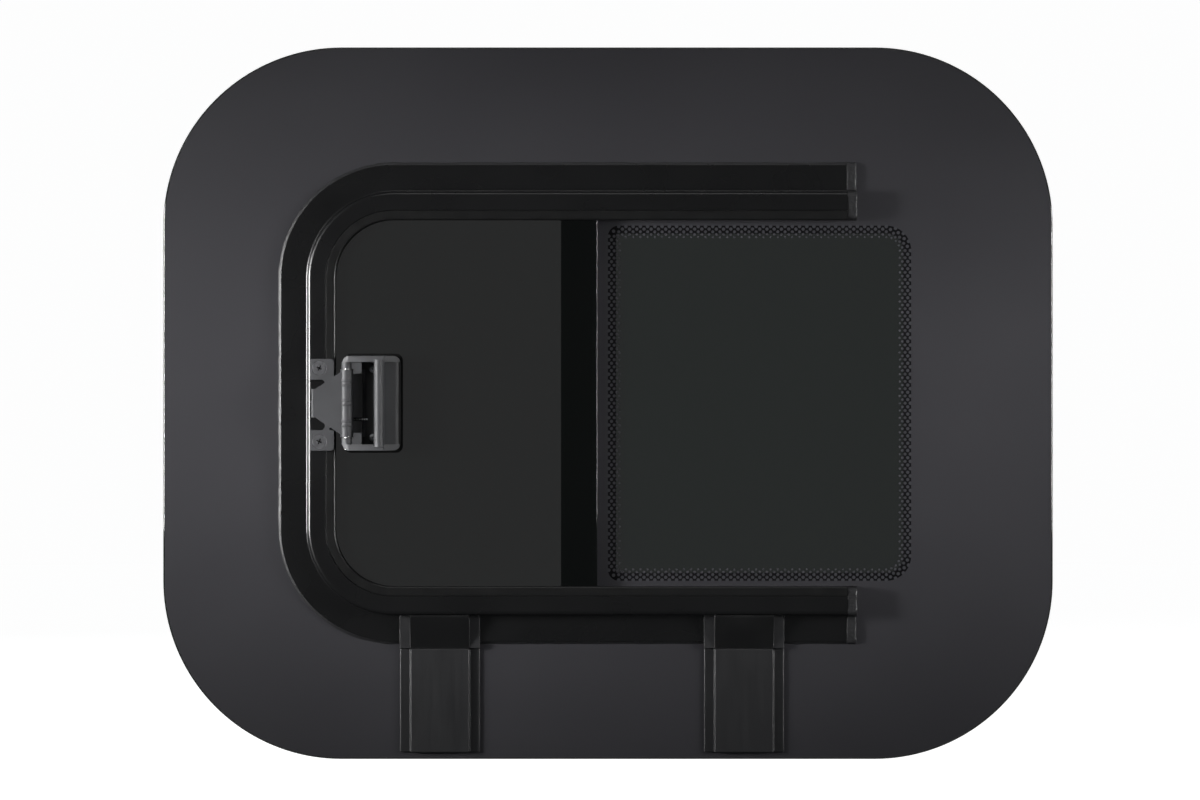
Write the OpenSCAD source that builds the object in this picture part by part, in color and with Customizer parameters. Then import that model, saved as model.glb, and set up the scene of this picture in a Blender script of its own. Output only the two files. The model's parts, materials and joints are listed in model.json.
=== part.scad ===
// Half-slider camper window: a bonded pane of dark safety glass with a vent in its left half,
// a U-shaped track round the vent, a sliding pane, and a spring latch that hooks onto the track.
// Frame: +Z up, +X to the right seen from inside the vehicle, and the inside faces -Y.
// The origin is the centre of the main glass on its inner face, so height above the glass is -Y.

/* [Main glass] */
// Width of the main glass
glass_w = 500; // [460:5:620]
// Height of the main glass
glass_h = 400; // [330:5:500]
// Corner radius of the main glass
glass_corner_r = 100; // [40:2:120]
// Thickness of the main glass
glass_t = 5; // [3:0.5:8]
// How far the main glass stops short of the track lip's inner edge, round the vent
vent_lap = 0.5; // [0:0.1:1]
// Corner radius of the vent cut-out behind the mullion
vent_corner_r = 8; // [5:1:15]

/* [Track] */
// Distance from the glass edge in to the track's outer edge, at the left, top and bottom
track_inset = 66; // [45:1:90]
// Distance from the right glass edge in to the track's cut ends
track_end_inset = 116; // [90:1:140]
// Radius of the track's corners at its outer edge
track_corner_r = 64; // [50:1:80]
// Width of the flat flange outside the raised channel
flange_w = 15.5; // [10:0.5:24]
// Width of the channel's metal face
channel_w = 10.5; // [9:0.5:14]
// Width of the rubber lip along the inner edge of the channel
lip_w = 5.5; // [5:0.5:10]
// Wall thickness of the track
track_wall = 2; // [1.2:0.1:3]
// Height of the channel's face above the glass
channel_h = 14; // [12.5:0.5:20]
// Thickness of the adhesive under the track
adhesive_t = 1; // [0.5:0.1:2]

/* [Sliding pane] */
// Thickness of the sliding pane
pane_t = 4; // [3:0.5:5]
// Height of the sliding pane's outer face above the main glass
pane_lift = 5; // [4.5:0.25:6]
// Clearance between the pane's edge and the back of its run channel
edge_gap = 1.5; // [1.2:0.1:3]
// Thickness of the rubber run channel behind the pane's edge
liner_back = 1.5; // [1:0.1:2.5]
// Width of the pane's overlap past the centre of the mullion
pane_overlap = 10; // [9.5:0.5:20]
// Length of the stop at each end of the track
stop_len = 14.5; // [8:0.5:30]
// Length of each glide shoe on the pane's edges
glide_len = 22; // [12:1:30]

/* [Mullion] */
// Distance from the glass centre left to the centre of the mullion
mullion_offset = 16; // [0:1:40]
// Width of the mullion band between the vent and the clear window
mullion_w = 22; // [18:1:40]
// How far the mullion strip laps over the edge of the vent cut-out
mullion_lap = 6; // [3:0.5:8]
// Width of the pile strip that brushes the pane
pile_w = 3; // [2:0.5:5]

/* [Latch] */
// Width of the latch body, along the slide
latch_w = 32; // [28:0.5:44]
// Length of the latch body, up the pane
latch_len = 52.8; // [48:0.4:70]
// Height of the latch's grip bar above the pane
latch_h = 21; // [19:0.5:28]
// Gap between the track's lip and the latch body
latch_gap = 4.2; // [3:0.2:8]
// Diameter of the latch's pivot pin
pin_d = 3; // [2:0.25:3.5]
// Play between the hook's nose and the bar of the keeper
hook_play = 2.2; // [0.6:0.2:3]
// Length of the hook's nose where it enters the keeper
hook_nose_len = 16; // [10:0.4:20]
// Diameter of the spring wire
spring_wire_d = 0.8; // [0.5:0.1:1]

/* [Keeper] */
// Length of the keeper, up the track
keeper_len = 51.4; // [46:0.4:70]
// Length of each screw lug at the keeper's ends
keeper_lug = 11.6; // [10:0.2:15]
// Distance that the keeper sits below the centre of the latch
keeper_drop = 0.9; // [0:0.1:2]
// Diameter of the keeper screws
keeper_screw_d = 4; // [3:0.5:4.5]
// Diameter of the keeper screws' heads
keeper_head_d = 7.9; // [6:0.1:8.4]

/* [Drains] */
// Distance of the left drain from the glass centre
drain_left_x = 94.4; // [60:1:105]
// Distance of the right drain from the glass centre
drain_right_x = 76.4; // [50:1:100]
// Width of each drain over its side flanges
drain_w = 45; // [36:1:60]
// Width of the raised middle of each drain
drain_body_w = 33; // [22:1:34]
// Height of the drain duct above the glass
drain_h = 5.2; // [4.5:0.1:7]
// Wall thickness of the drains
drain_wall = 1.5; // [1:0.1:2]
// Gap left between the drain's outlet and the edge of the glass
drain_end_gap = 4; // [2:0.5:15]

/* [Hidden] */
$fn = 96;

gap = 0.3;                                       // between soft or sliding faces
fit = 0.05;                                      // radial clearance of pins and screws

// track: u runs inward from its outer edge, h is the height above the glass
track_x = -glass_w / 2 + track_inset;
track_z = glass_h / 2 - track_inset;
track_end = glass_w / 2 - track_end_inset;
face_u = flange_w + channel_w;
inner_u = face_u + lip_w;
floor_h = adhesive_t + track_wall;
roof_h = channel_h - track_wall;
liner_u = flange_w + track_wall;
slot_u = liner_u + liner_back;
liner_end_u = face_u - 0.5;

// sliding pane
pane_u = slot_u + edge_gap;
pane_top = pane_lift + pane_t;
pane_left = track_x + pane_u;
pane_z = track_z - pane_u;
mullion_x = -mullion_offset;
pane_right = mullion_x + pane_overlap;
pane_corner_r = track_corner_r - pane_u;
glide_t = 0.8;
slot_low = pane_lift - glide_t - gap;
slot_high = pane_top + glide_t + gap;
travel = track_end - stop_len - pane_right - gap;

// vent cut-out
strip_x = mullion_x - mullion_w / 2 + 0.6;
vent_u = inner_u - vent_lap;
vent_right = strip_x + mullion_lap;
seal_w = 4.5;
seal_u = vent_u - seal_w - 0.5;

// keeper
keeper_bar = 5.1;
lug_h = 4.2;
keeper_x0 = track_x + flange_w + 2.2;
keeper_x1 = track_x + inner_u - 0.6;
screw_x = track_x + face_u - 3.4;
screw_z = keeper_len / 2 - keeper_lug / 2 + 0.6;
screw_tip = slot_high + 0.2;
nut_low = slot_high + 0.5;

// latch
pad_t = 1;
pad_rim = 1.4;
base_t = 2.5;
floor_t = 1.5;
base_h = pane_top + pad_t;
latch_floor = base_h + base_t;
latch_x0 = track_x + inner_u + latch_gap;
latch_x1 = latch_x0 + latch_w;
latch_z = latch_len / 2;
latch_top = pane_top + latch_h;
side_t = 3.4;
boss_len = 3.8;
block_len = 6.2;
barrel_r = pin_d / 2 + 1.95;
boss_r = barrel_r - 0.6;
pivot_x = latch_x0 + 2.3;
pivot_h = max(latch_floor + 8, channel_h + lug_h + 2 + gap);   // the arm clears the keeper by 2 mm
barrel_z = latch_z - side_t - boss_len - gap;
grip_r = 2.7;
grip_x = latch_x1 - 11.5;
well_x = grip_x - grip_r;
arm_t = 2.6;
arm_low = pivot_h - gap;
nose_t = 5.2;
nose_x = keeper_x1 - keeper_bar - hook_play - nose_t;
ear_x = well_x - 1.2;
spring_z = -6.7;
spring_turns = 5;
spring_coil_r = pin_d / 2 + 0.3 + spring_wire_d / 2;
window_len = (spring_turns + 1) * spring_wire_d * 1.15 + 1.2;

// drains
hood_z0 = -track_z + flange_w;
hood_z1 = -track_z - 3.4;
duct_z1 = -glass_h / 2 + drain_end_gap;
tape_t = 0.4;
hood_top = channel_h - 2;
weep_w = 9;

// ---- helpers -----------------------------------------------------------------------------

function arc(cx, cy, r, from, to, steps = 6) =
    [for (i = [0:steps]) let (a = from + (to - from) * i / steps) [cx + r * cos(a), cy + r * sin(a)]];

// lifts an outline drawn as (x, z) to the heights low..high above the glass
module slab(low, high) {
    translate([0, -low, 0]) rotate([90, 0, 0]) linear_extrude(high - low) children();
}

// runs a section drawn as (z, h) along X
module along_x(from, to) {
    multmatrix([[0, 0, 1, from], [0, -1, 0, 0], [1, 0, 0, 0], [0, 0, 0, 1]])
        linear_extrude(to - from) children();
}

// runs a section drawn as (x, h) along Z
module along_z(from, to) {
    translate([0, 0, from]) mirror([0, 1, 0]) linear_extrude(to - from) children();
}

// a round bar or hole standing on the glass, from height low to high
module post(x, z, r, low, high) {
    translate([x, -low, z]) rotate([90, 0, 0]) cylinder(r = r, h = high - low);
}

module box_at(x0, x1, low, high, z0, z1) {
    translate([x0, -high, z0]) cube([x1 - x0, high - low, z1 - z0]);
}

// rectangle with its own radius at the left and right corners, symmetric about z = 0
module outline(x0, x1, half_z, left_r, right_r) {
    translate([x0 + left_r, -half_z]) square([x1 - right_r - x0 - left_r, 2 * half_z]);
    translate([x0, -half_z + left_r]) square([left_r + 0.01, 2 * (half_z - left_r)]);
    translate([x1 - right_r - 0.01, -half_z + right_r]) square([right_r + 0.01, 2 * (half_z - right_r)]);
    for (s = [-1, 1]) {
        translate([x0 + left_r, s * (half_z - left_r)]) circle(left_r);
        translate([x1 - right_r, s * (half_z - right_r)]) circle(right_r);
    }
}

// sweeps a section drawn as (u, h) round the U of the track, with both legs ending at end_x
module round_track(end_x = track_end) {
    corner_x = track_x + track_corner_r;
    corner_z = track_z - track_corner_r;
    translate([track_x, 0, -corner_z]) mirror([0, 1, 0]) linear_extrude(2 * corner_z) children();
    for (side = [0, 1]) mirror([0, 0, side]) {
        translate([corner_x, 0, track_z]) rotate([0, 90, 0]) mirror([0, 1, 0])
            linear_extrude(end_x - corner_x) children();
        translate([corner_x, 0, corner_z]) rotate([90, 0, 0]) rotate([0, 0, 90])
            rotate_extrude(angle = 90) translate([track_corner_r, 0]) mirror([1, 0]) children();
    }
}

// a countersunk screw with a cross recess, its head flush at height top and its tip at tip
module countersunk(x, z, d, head_d, top, tip) {
    depth = (head_d - d) / 2;
    difference() {
        union() {
            post(x, z, d / 2, tip, top - depth / 2);
            translate([x, -top + depth, z]) rotate([90, 0, 0])
                cylinder(r1 = d / 2, r2 = head_d / 2, h = depth);
        }
        for (turn = [0, 90]) translate([x, -top, z]) rotate([0, turn, 0])
            cube([head_d * 0.56, 2.4, head_d * 0.12], center = true);
    }
}

// the hole that a countersunk screw sits in
module countersink(x, z, d, head_d, top, tip) {
    depth = (head_d - d) / 2;
    post(x, z, d / 2 + fit, tip - 1, top + 1);
    translate([x, -top + depth + fit, z]) rotate([90, 0, 0])
        cylinder(r1 = d / 2 + fit, r2 = head_d / 2 + 2 * fit, h = depth + fit);
}

// ---- fixed pieces ------------------------------------------------------------------------

module main_glass() {
    color("#242826") slab(-glass_t, 0) difference() {
        outline(-glass_w / 2, glass_w / 2, glass_h / 2, glass_corner_r, glass_corner_r);
        outline(track_x + vent_u, vent_right, track_z - vent_u, track_corner_r - vent_u, vent_corner_r);
    }
}

// a bead under the flange that squeezes out along its outer edge
module track_adhesive() {
    bead = 2;
    color("#101010") round_track() {
        square([face_u - 1, adhesive_t]);
        polygon(concat([[0.01, 0], [0.01, adhesive_t]], [[0, adhesive_t + 0.8]],
            arc(0, 0, bead, 112, 180, 5)));
    }
}

// one outline: flange with a rounded edge, then web and roof with a rounded shoulder
module track_section() {
    shoulder_r = 2.4;
    edge_r = track_wall / 2;
    polygon(concat(
        [[liner_end_u, adhesive_t]],
        arc(edge_r, adhesive_t + edge_r, edge_r, 270, 90, 6),
        [[flange_w, floor_h]],
        arc(flange_w + shoulder_r, channel_h - shoulder_r, shoulder_r, 180, 90, 6),
        [[face_u, channel_h], [face_u, roof_h], [liner_u, roof_h], [liner_u, floor_h],
         [liner_end_u, floor_h]]));
}

module track_rail() {
    color("#1c1c1d") difference() {
        round_track() track_section();
        // weep slots that let water out of the channel into the drains
        for (x = [-drain_left_x, drain_right_x], side = [-1, 1])
            box_at(x + side * 7 - weep_w / 2, x + side * 7 + weep_w / 2, floor_h, floor_h + 4,
                hood_z0 - 2, hood_z0 + track_wall + 0.01);
        for (s = [-1, 1])
            post(screw_x, s * screw_z - keeper_drop, keeper_screw_d / 2 + fit, roof_h - 1, channel_h + 1);
    }
}

// flocked rubber channel that the pane's edge runs in, relieved where the keeper's nut plate sits
module run_channel() {
    color("#151515") difference() {
        round_track(track_end - stop_len) difference() {
            translate([liner_u, floor_h]) square([liner_end_u - liner_u, roof_h - floor_h]);
            translate([slot_u, slot_low]) square([inner_u, slot_high - slot_low]);
        }
        box_at(track_x + liner_u - 1, track_x + face_u + 1, slot_high, roof_h + 1,
            -keeper_len / 2 - keeper_drop - gap, keeper_len / 2 - keeper_drop + gap);
        for (x = [-drain_left_x, drain_right_x], side = [-1, 1])
            box_at(x + side * 7 - weep_w / 2, x + side * 7 + weep_w / 2, slot_low, floor_h + 4,
                hood_z0, hood_z0 + track_wall + liner_back + 1);
    }
}

// rubber seal clipped to the inner edge of the roof, whose lip wipes the pane's inner face
module inner_lip_seal() {
    tip_h = pane_top + gap;
    round_r = 2.4;
    color("#121212") round_track() {
        polygon(concat(
            [[face_u, roof_h - 1.2], [face_u, channel_h - 0.5], [face_u + 0.5, channel_h - 0.5],
             [face_u + 0.7, channel_h]],
            arc(inner_u - round_r, channel_h - round_r, round_r, 90, 0, 5),
            [[inner_u, tip_h + 0.6], [inner_u - 0.8, tip_h], [inner_u - 1.8, tip_h + 0.5],
             [face_u + 1.8, roof_h - 1.2]]));
        translate([liner_end_u + 0.05, roof_h - 1.2]) square([face_u - liner_end_u, 1.1]);
    }
}

// two-lipped rubber strip on the main glass round the vent, under the pane's outer face
module vent_seal() {
    color("#141414") round_track(pane_right) {
        translate([seal_u, 0]) square([seal_w, 2]);
        polygon([[seal_u + 0.4, 1.99], [seal_u + 1.6, 1.99], [seal_u + 2.6, pane_lift - gap],
            [seal_u + 1.6, pane_lift - gap]]);
        polygon([[seal_u + 2.9, 1.99], [seal_u + 4.1, 1.99], [seal_u + 4.3, pane_lift - gap - 0.6],
            [seal_u + 3.7, pane_lift - gap - 0.4]]);
    }
}

module mullion_carrier() {
    carrier_h = 3.2;
    left = strip_x;
    right = pane_right - 1.5;
    pile_x = pane_right - 4.6;
    end_z = track_z - seal_u - seal_w - 0.2;
    color("#17171a") along_z(-end_z, end_z) difference() {
        union() {
            translate([left, 0]) square([right - left, 1.6]);
            translate([pile_x - pile_w / 2 - 1.4, 1.59]) square([pile_w + 2.8, carrier_h - 1.59]);
            polygon([[left + 1, 1.59], [left + 2.4, 1.59], [left + 1.6, pane_lift - gap],
                [left + 1, pane_lift - gap]]);
        }
        translate([pile_x - pile_w / 2 - 0.1, 0.8]) square([pile_w + 0.2, carrier_h]);
    }
}

module mullion_pile() {
    pile_x = pane_right - 4.6;
    end_z = track_z - seal_u - seal_w - 0.2;
    color("#2b2b2e") along_z(-end_z, end_z) {
        translate([pile_x - pile_w / 2, 0.8]) square([pile_w, 1]);
        translate([pile_x - pile_w * 0.36, 1.79]) square([pile_w * 0.72, pane_lift - gap - 1.79]);
    }
}

// rubber strip that the pane's left edge closes on
module closing_buffer() {
    reach = track_z - track_corner_r - 10;
    color("#0e0e0e") box_at(track_x + slot_u, pane_left - gap, pane_lift + 0.6, pane_top - 0.6,
        -reach, reach);
}

module end_stop(side) {
    color("#1a1a1a") mirror([0, 0, side]) difference() {
        box_at(track_end - stop_len, track_end, floor_h, roof_h, track_z - liner_end_u, track_z - liner_u);
        // a screwdriver slot, so that the stop can be levered out
        box_at(track_end - stop_len + 5, track_end - 3, pane_lift, pane_top,
            track_z - liner_end_u - 1, track_z - liner_end_u + 1.5);
    }
}
module end_stop_top() { end_stop(0); }
module end_stop_bottom() { end_stop(1); }

// sealant that caps the cut end of the track
module end_plug(side) {
    plug = 5.5;
    color("#0b0b0b") mirror([0, 0, side]) {
        multmatrix([[0, 0, 1, track_end], [0, -1, 0, 0], [-1, 0, 0, track_z], [0, 0, 0, 1]])
            linear_extrude(plug)
                polygon(concat(
                    [[-1.5, 0], [-1, floor_h - 0.5], [1, floor_h + 0.4], [flange_w - 1, floor_h + 0.6]],
                    arc(flange_w + 2, channel_h - 2.4, 2.4, 180, 90, 4),
                    arc(inner_u - 3, channel_h - 3.6, 3, 90, 0, 4),
                    [[inner_u, 0]]));
    }
}
module end_plug_top() { end_plug(0); }
module end_plug_bottom() { end_plug(1); }

// ---- keeper ------------------------------------------------------------------------------

// C-shaped block: a screw lug at each end, and a bar that the hook's nose drops behind
module keeper() {
    half = keeper_len / 2;
    mouth = half - keeper_lug;
    lug_top = channel_h + lug_h;
    color("#4a4b4f") translate([0, 0, -keeper_drop]) difference() {
        slab(channel_h, lug_top) difference() {
            outline(keeper_x0, keeper_x1, half, 0.8, 2);
            outline(keeper_x0 - 6, keeper_x1 - keeper_bar, mouth, 1, 2.4);
        }
        // ramp on the bar that lifts the nose as the pane closes
        along_z(-mouth, mouth)
            polygon([[keeper_x1 - 2.4, lug_top + 0.01], [keeper_x1 + 0.1, lug_top + 0.01],
                [keeper_x1 + 0.1, channel_h + 1.2]]);
        for (s = [-1, 1])
            countersink(screw_x, s * screw_z, keeper_screw_d, keeper_head_d, lug_top, channel_h);
    }
}

module keeper_screws() {
    color("#8b8c8f") for (s = [-1, 1])
        countersunk(screw_x, s * screw_z - keeper_drop, keeper_screw_d, keeper_head_d,
            channel_h + lug_h, screw_tip);
}

module keeper_nut_plate() {
    half = keeper_len / 2 - 0.4;
    color("#9a9c9e") translate([0, 0, -keeper_drop]) difference() {
        box_at(track_x + liner_u + 0.4, track_x + liner_end_u - 0.1, nut_low, roof_h, -half, half);
        for (s = [-1, 1])
            post(screw_x, s * screw_z, keeper_screw_d / 2 + fit, nut_low - 1, roof_h + 1);
    }
}

// ---- drains ------------------------------------------------------------------------------

// sloping hood over the flange that takes water from the weep slots
module drain_hood(x) {
    body = drain_body_w / 2;
    side = drain_w / 2;
    rear = hood_z0 - 0.1;
    color("#1f1f20") {
        difference() {
            along_x(x - body, x + body)
                polygon([[rear, floor_h + 0.05], [rear, hood_top], [rear - 2, hood_top], [hood_z1 + 1, drain_h],
                    [hood_z1, drain_h], [hood_z1, 2.6], [-track_z - 0.4, 2.6], [-track_z - 0.4, floor_h + 0.05]]);
            along_x(x - body + drain_wall, x + body - drain_wall)
                polygon([[rear + 1, 0], [rear + 1, hood_top - drain_wall],
                    [rear - 2 - drain_wall / 2, hood_top - drain_wall], [hood_z1 + 1, drain_h - drain_wall],
                    [hood_z1 - 1, drain_h - drain_wall], [hood_z1 - 1, 0]]);
        }
        for (s = [-1, 1])
            box_at(s > 0 ? x + body - 0.01 : x - side, s > 0 ? x + side : x - body + 0.01,
                floor_h + 0.05, floor_h + drain_wall, hood_z1, rear);
    }
}
module drain_hood_left() { drain_hood(-drain_left_x); }
module drain_hood_right() { drain_hood(drain_right_x); }

// flat duct that carries the water down to the lower edge of the glass
module drain_duct(x) {
    body = drain_body_w / 2;
    side = drain_w / 2;
    top_z = hood_z1 - 0.2;
    color("#2c2c2e") difference() {
        union() {
            box_at(x - side, x + side, tape_t, tape_t + drain_wall, duct_z1, top_z);
            box_at(x - body, x + body, tape_t, drain_h, duct_z1, top_z);
        }
        box_at(x - body + drain_wall, x + body - drain_wall, -1, drain_h - drain_wall,
            duct_z1 - 1, top_z + 1);
    }
}
module drain_duct_left() { drain_duct(-drain_left_x); }
module drain_duct_right() { drain_duct(drain_right_x); }

module drain_tape() {
    strip = (drain_w - drain_body_w) / 2 + drain_wall - 0.6;
    color("#333333") for (x = [-drain_left_x, drain_right_x], s = [-1, 1])
        translate([x + s * (drain_w / 2 - 0.3 - strip / 2), 0, 0])
            box_at(-strip / 2, strip / 2, 0, tape_t, duct_z1 + 1, hood_z1 - 1.2);
}

// ---- sliding pane ------------------------------------------------------------------------

module sliding_pane() {
    color("#1d201f") slab(pane_lift, pane_top)
        outline(pane_left, pane_right, pane_z, pane_corner_r, 3);
}

// shoes clipped over the pane's edge, one near each end
module glides(side) {
    deep = 5;
    color("#26282b") mirror([0, 0, side])
        for (x = [pane_left + pane_corner_r + 6, pane_right - glide_len - 6]) difference() {
            box_at(x, x + glide_len, pane_lift - glide_t, pane_top + glide_t, pane_z - deep,
                pane_z + edge_gap - gap);
            box_at(x - 1, x + glide_len + 1, pane_lift, pane_top, pane_z - deep - 1, pane_z);
        }
}
module glides_top() { glides(0); }
module glides_bottom() { glides(1); }

// ---- latch -------------------------------------------------------------------------------

module latch_pad() {
    color("#0c0c0c") slab(pane_top, base_h)
        outline(latch_x0 + 0.4, latch_x1 + pad_rim, latch_z + pad_rim, 4, 4);
}

module latch_base() {
    color("#3a3b3e") difference() {
        slab(base_h, latch_floor) outline(latch_x0, latch_x1, latch_z, 3.8, 3.8);
        for (s = [-1, 1])
            post(ear_x, s * (latch_z - 7.2), 1.1 + fit, base_h + 0.6, latch_floor + 1);
    }
}

// side cheeks, pin bosses, floor frame, grip bar and the finger rest beside it
module latch_housing() {
    cheek = [[latch_x0, latch_floor], [latch_x0, pivot_h + 1.5],
             [latch_x0 + 3.5, pivot_h + 4], [grip_x - grip_r, latch_top - 4.5],
             [grip_x + grip_r, latch_top - 4.5], [latch_x1 - 1, latch_floor + 4.5],
             [latch_x1, latch_floor + 3], [latch_x1, latch_floor]];
    color("#53555a") difference() {
        union() {
            difference() {
                slab(latch_floor, latch_floor + floor_t) outline(latch_x0, latch_x1, latch_z, 3.8, 3.8);
                box_at(pivot_x + 1, well_x - 5.4, latch_floor - 1, latch_floor + floor_t + 1,
                    -barrel_z, barrel_z);
            }
            for (s = [-1, 1]) {
                intersection() {
                    along_z(s > 0 ? latch_z - side_t : -latch_z, s > 0 ? latch_z : -latch_z + side_t)
                        polygon(cheek);
                    slab(latch_floor, latch_top) outline(latch_x0, latch_x1, latch_z, 3.8, 3.8);
                }
                translate([0, 0, s * (latch_z - side_t - boss_len / 2 + 0.005)]) {
                    along_z(-boss_len / 2, boss_len / 2) {
                        translate([pivot_x, pivot_h]) circle(boss_r);
                        translate([pivot_x - boss_r, latch_floor])
                            square([2 * boss_r, pivot_h - latch_floor]);
                    }
                }
                // corner block beside the well
                box_at(pivot_x - 0.1, pivot_x + barrel_r + 5, latch_floor, pivot_h + 1.5,
                    s > 0 ? latch_z - side_t - boss_len : -latch_z + side_t - 0.01,
                    s > 0 ? latch_z - side_t + 0.01 : -latch_z + side_t + boss_len);
                box_at(pivot_x + barrel_r + 0.6, pivot_x + barrel_r + 5, latch_floor, pivot_h + 1.5,
                    s > 0 ? latch_z - side_t - block_len : -latch_z + side_t,
                    s > 0 ? latch_z - side_t : -latch_z + side_t + block_len);
            }
            // grip bar
            along_z(-latch_z + 2, latch_z - 2) {
                translate([grip_x, latch_top - grip_r]) circle(grip_r);
                translate([grip_x - grip_r, latch_floor]) square([2 * grip_r, latch_h - base_t - pad_t - grip_r]);
            }
            // finger rest to the right of the grip
            along_z(-latch_z + side_t - 0.01, latch_z - side_t + 0.01)
                polygon([[grip_x, latch_floor], [grip_x, latch_floor + 4.6],
                    [grip_x + grip_r, latch_floor + 4.6], [latch_x1 - 3, latch_floor + 3.6],
                    [latch_x1 - 1.4, latch_floor + 2.8], [latch_x1 - 0.6, latch_floor + 1.4],
                    [latch_x1 - 0.6, latch_floor]]);
        }
        // pin bore, open at the lower end only
        translate([pivot_x, -pivot_h, -latch_z - 1]) cylinder(r = pin_d / 2 + fit, h = 2 * latch_z - 0.2);
        for (s = [-1, 1])
            countersink(ear_x, s * (latch_z - 7.2), 2.2, 4.2, latch_floor + floor_t, latch_floor - 1);
    }
}

module latch_screws() {
    color("#b4b5b7") for (s = [-1, 1])
        countersunk(ear_x, s * (latch_z - 7.2), 2.2, 4.2, latch_floor + floor_t, base_h + 0.8);
}

module latch_pin() {
    color("#c0c1c3") translate([pivot_x, -pivot_h, -latch_z + 0.6])
        cylinder(r = pin_d / 2, h = 2 * latch_z - 2.2);
}

// torsion spring round the pin: one leg on the base, one under the hook's arm
module latch_spring() {
    sides = 8;
    per_turn = 16;
    pitch = spring_wire_d * 1.15;
    r = spring_wire_d / 2;
    steps = per_turn * spring_turns;
    z0 = spring_z - pitch * spring_turns / 2;
    // leg to the right and down onto the base, then the coil, then a leg under the arm
    floor_leg = [pivot_x + 11.5, latch_floor + floor_t + r + 0.1];
    arm_leg = [pivot_x - 8.5, arm_low - r - 0.15];
    start = [spring_coil_r * cos(-90), pivot_h + spring_coil_r * sin(-90)];
    coil = [for (i = [0:steps]) let (a = -90 - 360 * i / per_turn)
        [pivot_x + spring_coil_r * cos(a), -(pivot_h + spring_coil_r * sin(a)), z0 + pitch * i / per_turn]];
    path = concat([[floor_leg[0], -floor_leg[1], z0], [pivot_x + 3.5, -(start[1] - 1.2), z0]],
        coil, [[arm_leg[0], -(pivot_h - spring_coil_r), z0 + pitch * spring_turns]]);
    last = len(path) - 1;
    function unit(v) = v / norm(v);
    function way(i) = unit(path[min(i + 1, last)] - path[max(i - 1, 0)]);
    // frames: one side vector stays as near the pin's axis as it can
    function side_a(i) = unit([0, 0, 1] - way(i) * (way(i) * [0, 0, 1]));
    function side_b(i) = cross(way(i), side_a(i));
    points = [for (i = [0:last], j = [0:sides - 1]) let (a = 360 * j / sides)
        path[i] + r * cos(a) * side_a(i) + r * sin(a) * side_b(i)];
    walls = [for (i = [0:last - 1], j = [0:sides - 1]) let (k = (j + 1) % sides)
        [i * sides + j, (i + 1) * sides + j, (i + 1) * sides + k, i * sides + k]];
    color("#d0d0d2") polyhedron(points,
        concat(walls, [[for (j = [0:sides - 1]) j], [for (j = [sides - 1:-1:0]) last * sides + j]]));
}

// hook, barrel and thumb lever in one moulding
module latch_hook() {
    shoulder = barrel_z - 1.6;
    lever = latch_z - side_t - block_len - 0.5;
    nose = hook_nose_len / 2;
    notch = 1.1;
    coil_clear = spring_coil_r + spring_wire_d / 2 + 0.25;
    color("#505257") difference() {
        union() {
            translate([pivot_x, -pivot_h, -barrel_z]) cylinder(r = barrel_r, h = 2 * barrel_z);
            slab(arm_low, arm_low + arm_t)
                polygon([[pivot_x, shoulder], [pivot_x - barrel_r, shoulder], [nose_x + 2.2, nose],
                    [nose_x + 2.2, -nose], [pivot_x - barrel_r, -shoulder], [pivot_x, -shoulder]]);
            // nose, sloped so that it rides up over the ridge when the pane closes
            along_z(-nose, nose)
                polygon([[nose_x + nose_t, arm_low + 0.01], [nose_x + nose_t, arm_low - 3.6],
                    [nose_x + 1.6, arm_low - 3.6], [nose_x, arm_low - 1.2], [nose_x, arm_low + arm_t - 1],
                    [nose_x + 1, arm_low + arm_t], [nose_x + nose_t, arm_low + arm_t]]);
            // thumb lever that slopes down into the well
            along_z(-lever, lever) translate([pivot_x, pivot_h])
                polygon([[0, -1.8], [2.4, -2.8], [7.4, -4.9], [8.4, -4.7], [9, -4], [8.6, -3],
                    [3.2, 0.6], [0, 1]]);
        }
        translate([pivot_x, -pivot_h, -barrel_z - 1]) cylinder(r = pin_d / 2 + fit, h = 2 * barrel_z + 2);
        // pocket for the spring's coil, open below, and the notch for its leg
        translate([pivot_x, -pivot_h, spring_z - window_len / 2])
            cylinder(r = coil_clear, h = window_len);
        box_at(pivot_x - barrel_r - 2, pivot_x + coil_clear, pivot_h - barrel_r - 1, pivot_h - 0.9,
            spring_z - window_len / 2, spring_z + window_len / 2);
        box_at(pivot_x, pivot_x + 10, pivot_h - 6, pivot_h + 0.2, spring_z - window_len / 2,
            spring_z - window_len / 2 + 2 * notch);
    }
}

main_glass();
track_adhesive();
track_rail();
run_channel();
inner_lip_seal();
vent_seal();
mullion_carrier();
mullion_pile();
closing_buffer();
end_stop_top();
end_stop_bottom();
end_plug_top();
end_plug_bottom();
keeper();
keeper_screws();
keeper_nut_plate();
drain_hood_left();
drain_hood_right();
drain_duct_left();
drain_duct_right();
drain_tape();
sliding_pane();
glides_top();
glides_bottom();
latch_pad();
latch_base();
latch_housing();
latch_screws();
latch_pin();
latch_spring();
latch_hook();
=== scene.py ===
"""Half-slider camper window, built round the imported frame.

Makes the visible pieces, their finishes and a plain studio.
"""

import json
import math

import bmesh
import bpy
from mathutils import Matrix, Vector, noise

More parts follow.
